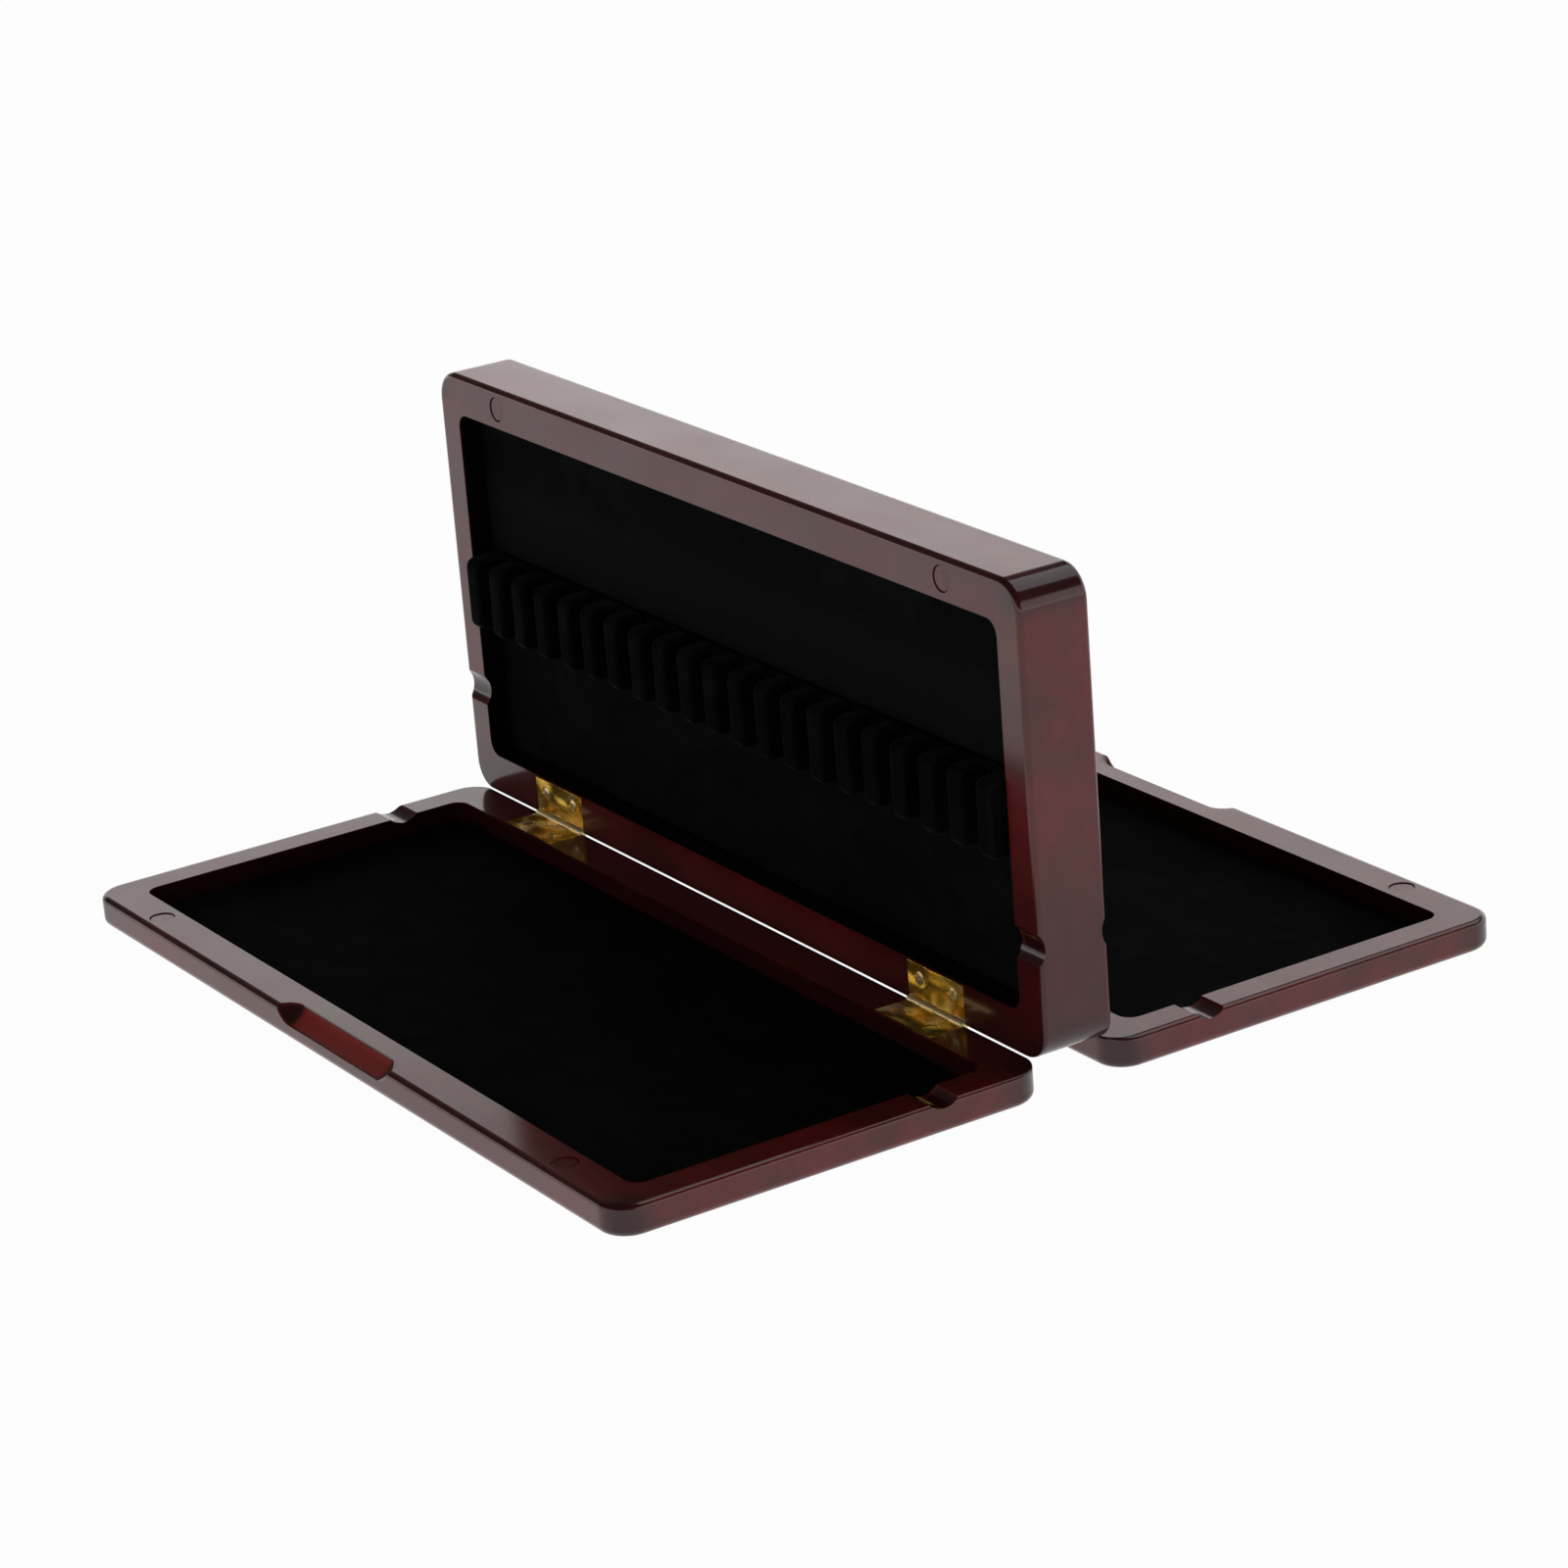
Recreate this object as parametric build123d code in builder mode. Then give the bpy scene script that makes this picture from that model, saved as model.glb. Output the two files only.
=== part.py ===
from build123d import *
import os

# Case body, in millimetres
case_length = 204.0
case_width = 90.0
centre_thickness = 15.0
lid_thickness = 6.3
rim_width = 8.2
end_rim_width = 7.2
corner_radius = 6.0
recess_corner_radius = 3.0
rim_chamfer = 0.4
recess_chamfer = 0.3
lid_back_round = 2.5

# Boards and velvet
lid_floor_thickness = 1.3
partition_thickness = 3.6
velvet_thickness = 1.0
board_clearance = 0.05

# Reed rack: bars, with room for one reed between each two
slot_width = 4.9
bar_width = 4.2
bar_length = 15.0
bar_proud = 2.8
bar_chamfer = 1.2
rack_from_edge = 44.4
strip_thickness = 1.0
strip_margin = 0.3

# Butt hinges
hinge_length = 18.0
hinge_from_end = 34.2
leaf_reach = 7.8
leaf_thickness = 0.5
knuckle_count = 4
knuckle_radius = 0.8
knuckle_side_gap = 0.12
knuckle_relief = 0.25
knuckle_clearance = 0.15
pin_radius = 0.4
pin_clearance = 0.05
closing_gap = 0.1
hinge_setback = 0.1
mortise_clearance = 0.05

# Hinge screws, countersunk through the leaf. They repeat, so they have flat sides
screw_spacing = 10.6
screw_from_pin = 5.0
screw_length = 4.5
screw_shank_radius = 0.8
screw_clearance = 0.02
screw_sides = 12
countersink_taper = -45

# Magnets, sunk a little below the rims
magnet_from_end = 23.5
magnet_from_edge = 4.2
magnet_radius = 2.5
magnet_thickness = 2.0
magnet_recess = 0.25
magnet_clearance = 0.05

# Vent channels across the short rims, and the finger cove of each lid
vent_from_edge = 21.9
vent_radius = 4.4
vent_depth = 1.3
cove_half_length = 17.4
cove_radius = 5.0
cove_depth = 4.0
cove_height = 3.0

overrun = 5.0

# The pins lie midway between the closed rims, just outside the wooden edges
pin_y = centre_thickness / 2 + closing_gap / 2
pin_z = lid_thickness + closing_gap / 2
lid_edge_y = pin_y + hinge_setback
lid_middle_y = lid_edge_y + case_width / 2
centre_middle_z = pin_z + hinge_setback + case_width / 2

# Planes of the front half, which faces -Y: z out of the wood, y towards the free edge
lid_base = Plane(origin=(0, -lid_middle_y, 0), x_dir=(-1, 0, 0), z_dir=(0, 0, 1))
lid_rim = lid_base.offset(lid_thickness)
lid_floor = lid_base.offset(lid_floor_thickness)
centre_core = Plane(origin=(0, 0, centre_middle_z), x_dir=(1, 0, 0), z_dir=(0, -1, 0))
centre_rim = centre_core.offset(centre_thickness / 2)
centre_board = centre_core.offset(partition_thickness / 2)
centre_velvet = centre_board.offset(velvet_thickness)

recess_length = case_length - 2 * end_rim_width
recess_width = case_width - 2 * rim_width
board_length = recess_length - 2 * board_clearance
board_width = recess_width - 2 * board_clearance
rack_depth = centre_thickness / 2 - partition_thickness / 2 - velvet_thickness
bar_height = rack_depth + bar_proud - strip_thickness
bar_pitch = bar_width + slot_width
slot_count = int((board_length - bar_width - 2 * strip_margin) / bar_pitch)
hinge_offset = case_length / 2 - hinge_from_end
magnet_offset = case_length / 2 - magnet_from_end
knuckle_pitch = hinge_length / knuckle_count

# The cove's round-nosed cutter passes through two points of the rim's section:
# cove_depth in from the side, and cove_height down from the rim
cove_chord = (cove_depth**2 + cove_height**2) ** 0.5
cove_reach = (cove_radius**2 - cove_chord**2 / 4) ** 0.5
cove_out = cove_reach * cove_height / cove_chord - cove_depth / 2
cove_up = cove_reach * cove_depth / cove_chord - cove_height / 2


def moved(plane, x, y):
    """The same plane with its origin at x, y of itself."""
    origin = plane.from_local_coords((x, y, 0))
    return Plane(origin=origin, x_dir=plane.x_dir, z_dir=plane.z_dir)


def pin_plane(rim, side):
    """A hinge's own plane: origin on its pin, y across the leaf, z out of the rim."""
    edge = hinge_setback + case_width / 2
    return moved(rim.offset(closing_gap / 2), side * hinge_offset, -edge)


def leaf_face(rim, side):
    """The outer face of a leaf, flush with the rim."""
    return pin_plane(rim, side).offset(-closing_gap / 2)


def across_pin(rim, side):
    """The plane square to the pin, at the middle of the hinge."""
    plane = pin_plane(rim, side)
    return Plane(origin=plane.origin, x_dir=plane.y_dir, z_dir=plane.x_dir)


def screw_places(rim, side):
    """The planes of one leaf's screws, in its inner face."""
    seat = leaf_face(rim, side).offset(-leaf_thickness)
    return [moved(seat, end * screw_spacing / 2, screw_from_pin) for end in (-1, 1)]


def magnet_places(rim):
    """The planes of one rim's two magnets."""
    row = case_width / 2 - magnet_from_edge
    return [moved(rim, end * magnet_offset, row) for end in (-1, 1)]


def screw_section(place, clearance):
    """The section of a screw's shank, or with a clearance that of its hole."""
    with BuildSketch(place) as section:
        RegularPolygon(screw_shank_radius + clearance, screw_sides)
    return section.sketch


def cut_hinge_seats(rim):
    """Cut mortises for the leaves, room for the knuckles, and screw holes."""
    pocket_length = hinge_length + 2 * mortise_clearance
    pocket_reach = leaf_reach + mortise_clearance
    for side in (-1, 1):
        with BuildSketch(moved(leaf_face(rim, side), 0, pocket_reach / 2)) as mortise:
            Rectangle(pocket_length, pocket_reach)
        extrude(mortise.sketch, amount=-leaf_thickness, mode=Mode.SUBTRACT)
        with BuildSketch(across_pin(rim, side)) as groove:
            Circle(knuckle_radius + knuckle_clearance)
        extrude(groove.sketch, amount=pocket_length / 2, both=True, mode=Mode.SUBTRACT)
        for place in screw_places(rim, side):
            pilot = screw_section(place, screw_clearance)
            extrude(pilot, amount=leaf_thickness - screw_length, mode=Mode.SUBTRACT)


def cut_magnet_pockets(rim):
    """Cut the two round pockets in the free rim."""
    for place in magnet_places(rim):
        with BuildSketch(place) as pocket:
            Circle(magnet_radius + magnet_clearance)
        extrude(pocket.sketch, amount=-magnet_recess - magnet_thickness, mode=Mode.SUBTRACT)


def cut_vent_channel(rim):
    """Cut a shallow round channel across both short rims."""
    row = moved(rim.offset(vent_radius - vent_depth), 0, vent_from_edge - case_width / 2)
    with BuildSketch(Plane(origin=row.origin, z_dir=rim.x_dir)) as channel:
        Circle(vent_radius)
    reach = case_length / 2 + overrun
    extrude(channel.sketch, amount=reach, both=True, mode=Mode.SUBTRACT)


def cut_finger_cove(rim):
    """Cut the cove in the outer corner of the free rim."""
    nose = moved(rim.offset(cove_up), 0, case_width / 2 + cove_out)
    with BuildSketch(Plane(origin=nose.origin, x_dir=rim.x_dir, z_dir=-rim.y_dir)) as half:
        SlotCenterToCenter(2 * cove_half_length, 2 * cove_radius)
        with Locations((0, cove_radius)):
            Rectangle(
                2 * (cove_half_length + cove_radius), 2 * cove_radius, mode=Mode.SUBTRACT
            )
    revolve(half.sketch, axis=Axis(nose.origin, rim.x_dir), mode=Mode.SUBTRACT)


# Front lid: a shallow tray that lies on its back with its rim upwards
with BuildPart() as front_lid_tray:
    with BuildSketch(lid_base):
        RectangleRounded(case_length, case_width, corner_radius)
    extrude(amount=lid_thickness)
    fillet(front_lid_tray.edges().group_by(Axis.Z)[0], radius=lid_back_round)
    chamfer(front_lid_tray.edges().group_by(Axis.Z)[-1], length=rim_chamfer)
    with BuildSketch(lid_rim):
        RectangleRounded(recess_length, recess_width, recess_corner_radius)
    extrude(amount=lid_floor_thickness - lid_thickness, mode=Mode.SUBTRACT)
    rim_face = front_lid_tray.faces().filter_by(Axis.Z).sort_by(Axis.Z)[-1]
    chamfer(rim_face.inner_wires().edges(), length=recess_chamfer)
    cut_vent_channel(lid_rim)
    cut_hinge_seats(lid_rim)
    cut_magnet_pockets(lid_rim)
    cut_finger_cove(lid_rim)

# Velvet bed on the lid's floor
with BuildPart() as front_lid_velvet:
    with BuildSketch(lid_floor):
        RectangleRounded(board_length, board_width, recess_corner_radius)
    extrude(amount=velvet_thickness)

# Centre frame: a rim on each face round the recesses for the reeds, made as one half
# and its mirror image
with BuildPart() as centre_frame:
    with BuildSketch(centre_core):
        RectangleRounded(case_length, case_width, corner_radius)
        RectangleRounded(
            recess_length, recess_width, recess_corner_radius, mode=Mode.SUBTRACT
        )
    extrude(amount=centre_thickness / 2)
    rim_face = centre_frame.faces().filter_by(Axis.Y).sort_by(Axis.Y)[0]
    chamfer(rim_face.inner_wires().edges(), length=recess_chamfer)
    rim_face = centre_frame.faces().filter_by(Axis.Y).sort_by(Axis.Y)[0]
    chamfer(rim_face.outer_wire().edges(), length=rim_chamfer)
    cut_vent_channel(centre_rim)
    cut_hinge_seats(centre_rim)
    cut_magnet_pockets(centre_rim)
    mirror(about=Plane.XZ)

# Partition between the two recesses, and the velvet bed on its front
with BuildPart() as centre_partition:
    with BuildSketch(centre_core):
        RectangleRounded(board_length, board_width, recess_corner_radius)
    extrude(amount=partition_thickness / 2, both=True)

with BuildPart() as front_velvet_bed:
    with BuildSketch(centre_board):
        RectangleRounded(board_length, board_width, recess_corner_radius)
    extrude(amount=velvet_thickness)

# Reed rack: a strip glued on the velvet, and the row of bars on it
rack_plane = moved(centre_velvet, 0, rack_from_edge - case_width / 2)
with BuildPart() as front_rack_strip:
    with BuildSketch(rack_plane):
        Rectangle(
            slot_count * bar_pitch + bar_width + 2 * strip_margin,
            bar_length + 2 * strip_margin,
        )
    extrude(amount=strip_thickness)

with BuildPart() as front_rack_bars:
    with BuildSketch(rack_plane.offset(strip_thickness)):
        with GridLocations(bar_pitch, 0, slot_count + 1, 1):
            Rectangle(bar_width, bar_length)
    extrude(amount=bar_height)
    chamfer(front_rack_bars.edges().group_by(Axis.Y)[0], length=bar_chamfer)


def magnet_pair(rim):
    """Two disc magnets, below the face of the free rim."""
    with BuildPart() as magnets:
        for place in magnet_places(rim):
            with BuildSketch(place.offset(-magnet_recess)):
                Circle(magnet_radius)
            extrude(amount=-magnet_thickness)
    return magnets


def hinge_leaf(rim, side):
    """A leaf with every second knuckle; turned over, the other leaf is its match."""
    face = leaf_face(rim, side)
    square = across_pin(rim, side)
    starts = [place * knuckle_pitch - hinge_length / 2 for place in range(knuckle_count)]
    with BuildPart() as leaf:
        with BuildSketch(moved(face, 0, leaf_reach / 2)):
            Rectangle(hinge_length, leaf_reach)
        extrude(amount=-leaf_thickness)
        for start in starts[1::2]:
            with BuildSketch(moved(face, start + knuckle_pitch / 2, 0)):
                Rectangle(knuckle_pitch, 2 * (knuckle_radius + knuckle_relief))
            extrude(amount=-leaf_thickness, mode=Mode.SUBTRACT)
        for start in starts[0::2]:
            with BuildSketch(square.offset(start + knuckle_side_gap / 2)):
                Circle(knuckle_radius)
            extrude(amount=knuckle_pitch - knuckle_side_gap)
        with BuildSketch(square):
            Circle(pin_radius + pin_clearance)
        extrude(amount=hinge_length / 2, both=True, mode=Mode.SUBTRACT)
        for place in screw_places(rim, side):
            hole = screw_section(place, screw_clearance)
            extrude(hole, amount=leaf_thickness, taper=countersink_taper, mode=Mode.SUBTRACT)
    return leaf


def hinge_pin(side):
    """The pin that both leaves of a hinge turn on."""
    with BuildPart() as pin:
        with BuildSketch(across_pin(centre_rim, side)):
            Circle(pin_radius)
        extrude(amount=hinge_length / 2, both=True)
    return pin


def hinge_screws(rim):
    """The four countersunk screws of one rim's two leaves."""
    with BuildPart() as screws:
        for side in (-1, 1):
            for place in screw_places(rim, side):
                shank = screw_section(place, 0)
                extrude(shank, amount=leaf_thickness - screw_length)
                extrude(shank, amount=leaf_thickness, taper=countersink_taper)
    return screws


front_pieces = {
    "front_lid_tray": front_lid_tray,
    "front_lid_velvet": front_lid_velvet,
    "front_lid_magnets": magnet_pair(lid_rim),
    "front_lid_screws": hinge_screws(lid_rim),
    "front_velvet_bed": front_velvet_bed,
    "front_rack_strip": front_rack_strip,
    "front_rack_bars": front_rack_bars,
    "front_centre_magnets": magnet_pair(centre_rim),
    "front_centre_screws": hinge_screws(centre_rim),
}
for hand, side in {"left": -1, "right": 1}.items():
    front_pieces[f"front_{hand}_centre_leaf"] = hinge_leaf(centre_rim, side)
    front_pieces[f"front_{hand}_lid_leaf"] = hinge_leaf(lid_rim, -side)
    front_pieces[f"front_{hand}_hinge_pin"] = hinge_pin(side)

os.makedirs("parts", exist_ok=True)
centre_frame.part.label = "centre_frame"
export_step(centre_frame.part, "parts/centre_frame.step")
centre_partition.part.label = "centre_partition"
export_step(centre_partition.part, "parts/centre_partition.step")
for name, piece in front_pieces.items():
    piece.part.label = name
    export_step(piece.part, f"parts/{name}.step")
    with BuildPart() as twin:
        mirror(piece.part, about=Plane.XZ)
    twin_name = name.replace("front", "back")
    twin.part.label = twin_name
    export_step(twin.part, f"parts/{twin_name}.step")
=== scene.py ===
"""Looks of a double-sided reed case: lacquered wood, black velvet and brass hinges."""

import math
import random
from contextlib import contextmanager

import bmesh
import bpy
from bpy.props import FloatProperty, FloatVectorProperty, IntProperty, PointerProperty
from mathutils import Matrix, Vector


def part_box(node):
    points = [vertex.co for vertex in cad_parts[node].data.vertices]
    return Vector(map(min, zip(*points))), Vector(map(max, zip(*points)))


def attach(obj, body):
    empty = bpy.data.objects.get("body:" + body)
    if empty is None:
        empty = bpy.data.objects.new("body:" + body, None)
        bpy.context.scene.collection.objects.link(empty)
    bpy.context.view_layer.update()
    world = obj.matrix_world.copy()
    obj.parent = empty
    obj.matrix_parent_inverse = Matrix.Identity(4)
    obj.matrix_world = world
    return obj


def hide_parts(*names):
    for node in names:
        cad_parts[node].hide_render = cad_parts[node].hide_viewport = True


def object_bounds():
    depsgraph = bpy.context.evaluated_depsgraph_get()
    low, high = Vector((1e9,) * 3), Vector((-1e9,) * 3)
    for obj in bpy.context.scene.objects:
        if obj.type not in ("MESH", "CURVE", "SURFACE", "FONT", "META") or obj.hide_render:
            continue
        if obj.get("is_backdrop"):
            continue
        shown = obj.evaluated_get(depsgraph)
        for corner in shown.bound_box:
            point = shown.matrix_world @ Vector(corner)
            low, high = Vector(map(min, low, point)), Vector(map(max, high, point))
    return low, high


bl_info = {
    "name": "Reed case",
    "version": (1, 0, 0),
    "blender": (4, 5, 0),
    "location": "3D View > Sidebar > Reed case",
    "description": "Builds the looks of a double-sided reed case round its packed solids",
    "category": "Object",
}

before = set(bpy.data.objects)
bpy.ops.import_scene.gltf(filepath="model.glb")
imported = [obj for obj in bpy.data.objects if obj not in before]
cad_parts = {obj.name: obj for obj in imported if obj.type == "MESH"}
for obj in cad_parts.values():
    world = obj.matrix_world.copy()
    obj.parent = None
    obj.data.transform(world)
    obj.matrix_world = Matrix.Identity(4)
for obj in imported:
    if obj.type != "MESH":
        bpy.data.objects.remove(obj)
cad_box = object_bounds()

MM = 0.001
HALF_TURN = math.radians(180)
QUARTER_TURN = math.radians(90)

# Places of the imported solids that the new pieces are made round
FRAME_LOW, FRAME_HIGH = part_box("centre_frame")
LID_LOW, LID_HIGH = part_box("front_lid_tray")
LID_BED_LOW, LID_BED_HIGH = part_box("front_lid_velvet")
BED_LOW, BED_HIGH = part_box("front_velvet_bed")
STRIP_LOW, STRIP_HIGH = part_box("front_rack_strip")
BARS_LOW, BARS_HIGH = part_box("front_rack_bars")
PIN_LOW, PIN_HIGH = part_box("front_right_hinge_pin")
MAGNET_LOW, MAGNET_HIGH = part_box("front_centre_magnets")

HALF_LENGTH = FRAME_HIGH.x
HALF_WIDTH = (FRAME_HIGH.z - FRAME_LOW.z) / 2
CENTRE_MIDDLE = (FRAME_HIGH.z + FRAME_LOW.z) / 2
LID_MIDDLE = (LID_LOW.y + LID_HIGH.y) / 2
PIN = (PIN_LOW + PIN_HIGH) / 2
PIN_OUT = abs(PIN.y)
# Row of the hinge pins, and middle of the right magnet, in a rim's own frame
PIN_ROW = PIN.z - CENTRE_MIDDLE
MAGNET_X = MAGNET_HIGH.x - (MAGNET_HIGH.z - MAGNET_LOW.z) / 2
MAGNET_ROW = (MAGNET_HIGH.z + MAGNET_LOW.z) / 2 - CENTRE_MIDDLE

# Each rim's own frame: x along the case, y towards the free edge, z out of the rim
FRONT_LID = Matrix.Translation((0, LID_MIDDLE, LID_HIGH.z)) @ Matrix.Rotation(HALF_TURN, 4, "Z")
BACK_LID = Matrix.Translation((0, -LID_MIDDLE, LID_HIGH.z))
FACE_MIDDLE = Matrix.Translation((0, FRAME_LOW.y, CENTRE_MIDDLE))
FRONT_FACE = FACE_MIDDLE @ Matrix.Rotation(QUARTER_TURN, 4, "X")
BACK_FACE = Matrix.Rotation(HALF_TURN, 4, "Z") @ FRONT_FACE
OTHER_FACE = FRONT_FACE.inverted() @ BACK_FACE


def length(name, description, default):
    """A size in millimetres of the drawing, kept in metres."""
    return FloatProperty(
        name=name,
        description=description,
        default=default * MM,
        min=0,
        precision=5,
        subtype="DISTANCE",
        unit="LENGTH",
    )


def share(name, description, default):
    """A share of another size, from 0 to 1."""
    return FloatProperty(
        name=name, description=description, default=default, min=0, max=1, subtype="FACTOR"
    )


def colour(name, description, default):
    """A linear colour."""
    return FloatVectorProperty(
        name=name, description=description, default=default, size=3, min=0, max=1, subtype="COLOR"
    )


class WoodSizes(bpy.types.PropertyGroup):
    """Sizes of the wooden trays and of the centre frame."""

    rim_width: length("Rim width", "Width of the long rims", 8.2)
    end_rim: length("End rim width", "Width of the short rims", 7.2)
    floor: length("Lid floor", "Thickness of wood under a lid's velvet", 1.3)
    corner: length("Corner radius", "Radius of the corners in plan", 6.0)
    recess_corner: length("Recess corner radius", "Radius of the recess's corners", 3.0)
    outer_round: length("Outer edge round", "Rounding of the outer edges", 1.10)
    inner_share: share("Inner edge share", "Rounding inside over the outer one", 0.36)
    hinge_share: share("Hinge edge share", "Rounding at the hinges over the outer one", 0.12)
    cove_share: share("Cove edge share", "Rounding at the cove over the outer one", 0.22)
    back_round: length("Lid back round", "Rounding of the edge round a lid's back", 1.8)
    vent_row: length("Vent from hinge edge", "Distance of the vents from the hinge edge", 21.9)
    vent_radius: length("Vent radius", "Radius of the vent channels", 4.4)
    vent_depth: length("Vent depth", "Depth of the vent channels", 1.3)
    cove_half: length("Cove half length", "Half the straight run of the finger cove", 17.4)
    cove_radius: length("Cove radius", "Radius of the finger cove's cutter", 5.0)
    cove_depth: length("Cove depth", "How far the cove reaches into the rim", 4.0)
    cove_height: length("Cove height", "How far the cove reaches down the side", 3.0)


class HingeSizes(bpy.types.PropertyGroup):
    """Sizes of the hinges, screws and magnets."""

    reach: length("Leaf reach", "Reach of a leaf from its pin", 7.8)
    half: length("Half hinge", "Half the length of a hinge", 9.0)
    gauge: length("Leaf gauge", "Thickness of a leaf", 0.5)
    above: length("Pin above rim", "Height of the pin's middle over the rim", 0.05)
    knuckle: length("Knuckle radius", "Outer radius of the knuckles", 0.8)
    bore: length("Knuckle bore", "Radius of the hole for the pin", 0.45)
    side_gap: length("Knuckle side gap", "Gap between two knuckles", 0.12)
    relief: length("Knuckle relief", "Room round the other leaf's knuckles", 0.25)
    room: length("Knuckle clearance", "Room for the knuckles in the wood", 0.15)
    fit: length("Mortise clearance", "Room round a leaf in its mortise", 0.05)
    screw_half: length("Half screw spacing", "Half the distance between a leaf's screws", 5.3)
    screw_row: length("Screws from pin", "Distance of the screws from the pin", 5.0)
    screw_depth: length("Screw length", "Length of a screw under the leaf's face", 4.5)
    shank: length("Screw shank", "Radius of a screw's shank", 0.8)
    head: length("Screw head", "Radius of a screw's head", 1.50)
    head_sunk: length("Screw head sunk", "Depth of a head's rim under the wooden rim", 0.18)
    slot: length("Screw slot", "Width of the slot in a screw's head", 0.34)
    magnet: length("Magnet radius", "Radius of a magnet", 2.5)
    magnet_gauge: length("Magnet thickness", "Thickness of a magnet", 2.0)
    magnet_sunk: length("Magnet recess", "Depth of a magnet's face under the rim", 0.20)
    magnet_fit: length("Magnet clearance", "Room round a magnet", 0.05)


class VelvetSizes(bpy.types.PropertyGroup):
    """Sizes of the velvet-covered parts."""

    roll: length("Bed edge roll", "Rounding of the velvet beds' edges", 0.7)
    nap: length("Nap unevenness", "How uneven the velvet beds are", 0.16)
    bar_count: IntProperty(name="Bars", description="Bars in one rack", default=21, min=2)
    bar_width: length("Bar width", "Width of a rack bar", 4.2)
    bar_end: length("Bar end round", "Rounding of a bar's ends", 1.9)
    bar_side: length("Bar side round", "Rounding of a bar's long edges", 0.8)


class CaseColours(bpy.types.PropertyGroup):
    """Colours of the finishes."""

    wood_red: colour("Wood red", "Stained wood where it is brightest", (0.150, 0.0130, 0.0108))
    wood_dark: colour("Wood dark", "Stained wood in the dark grain", (0.058, 0.0060, 0.0056))
    # Painted light: a brighter red for the finger cove's straight run
    cove_lit_red: colour("Cove red", "Wood along the finger cove", (0.290, 0.0210, 0.0160))
    # Dark of the staining along the edges, also used as painted shade and painted dark reflection
    # in the recess, vents, cove ends, corners and by the hinges
    dark_stain_and_shade: colour("Edge stain", "Stain along the outer edges", (0.016, 0.0018, 0.0017))
    velvet: colour("Velvet", "Velvet of the beds", (0.0013, 0.0013, 0.0014))
    # Paler velvet for the nap's patches, and on the centre's faces also painted light
    velvet_light: colour("Velvet brushed", "Velvet against its nap", (0.0060, 0.0066, 0.0065))
    # Painted sheen highlight along the rack bars' edges
    velvet_sheen: colour("Velvet crest", "Velvet worn along a bar's edges", (0.050, 0.053, 0.056))
    lint: colour("Lint", "Lint caught in the velvet", (0.03, 0.03, 0.03))
    brass_light: colour("Brass light", "Polished brass", (0.98, 0.70, 0.11))
    brass_deep: colour("Brass deep", "Brass where it is tarnished", (0.78, 0.42, 0.03))
    # Paler brass for the knuckles, pins and screws, partly a painted highlight
    barrel: colour("Brass pale", "Brass of the knuckles, pins and screws", (0.98, 0.84, 0.48))
    magnet: colour("Magnet lacquer", "Red lacquer over the magnets", (0.110, 0.0110, 0.0095))
    board: colour("Board", "Fibre board of the partition", (0.16, 0.10, 0.06))


def sizes(group):
    """The settings of one group of sizes or colours."""
    return getattr(bpy.context.scene, group)


# Modelling helpers


def deselect():
    """Clear the selection of objects."""
    if bpy.context.object and bpy.context.object.mode != "OBJECT":
        bpy.ops.object.mode_set(mode="OBJECT")
    bpy.ops.object.select_all(action="DESELECT")


def make_active(piece):
    """Select one object alone and make it the active one."""
    deselect()
    piece.select_set(True)
    bpy.context.view_layer.objects.active = piece


def settle(piece, place=None):
    """Move a piece to a place and keep that place in its mesh."""
    make_active(piece)
    if place is not None:
        piece.matrix_world = place @ piece.matrix_world
    bpy.ops.object.transform_apply(location=True, rotation=True, scale=True)
    return piece


def named(name):
    """Name the object that was just added, and settle it."""
    piece = bpy.context.object
    piece.name = piece.data.name = name
    return settle(piece)


def block(name, low, high):
    """A box between two corners."""
    deselect()
    low, high = Vector(low), Vector(high)
    bpy.ops.mesh.primitive_cube_add(size=1, location=(low + high) / 2, scale=high - low)
    return named(name)


def rod(name, middle, radius, reach, axis="Z", sides=32):
    """A round bar about a middle point."""
    deselect()
    turn = {"X": (0, QUARTER_TURN, 0), "Z": (0, 0, 0)}[axis]
    bpy.ops.mesh.primitive_cylinder_add(
        vertices=sides, radius=radius, depth=reach, location=middle, rotation=turn
    )
    return named(name)


@contextmanager
def editing(piece, mode="EDGE"):
    """Edit mode on one piece, with nothing selected at first."""
    make_active(piece)
    bpy.ops.object.mode_set(mode="EDIT")
    bpy.ops.mesh.select_mode(type=mode)
    bpy.ops.mesh.select_all(action="DESELECT")
    yield piece
    bpy.ops.object.mode_set(mode="OBJECT")


def pick(piece, kind, test):
    """In edit mode, select the edges or faces that pass a test."""
    bpy.ops.mesh.select_all(action="DESELECT")
    mesh = bmesh.from_edit_mesh(piece.data)
    chosen = [item for item in getattr(mesh, kind) if test(item)]
    for item in chosen:
        item.select_set(True)
    mesh.select_flush_mode()
    bmesh.update_edit_mesh(piece.data)
    if not chosen:
        raise RuntimeError(f"{piece.name}: nothing to shape was found among its {kind}")


def at_level(edge, height):
    """Whether an edge lies at one height."""
    return all(abs(v.co.z - height) < 0.01 * MM for v in edge.verts)


def upright(edge):
    """Whether an edge stands along Z."""
    a, b = (v.co for v in edge.verts)
    return (a - b).xy.length < 0.001 * MM


def apply(piece, kind, **settings):
    """Add a modifier with its settings and apply it."""
    make_active(piece)
    modifier = piece.modifiers.new(kind.lower(), kind)
    for name, value in settings.items():
        setattr(modifier, name, value)
    bpy.ops.object.modifier_apply(modifier=modifier.name)
    return piece


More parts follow.
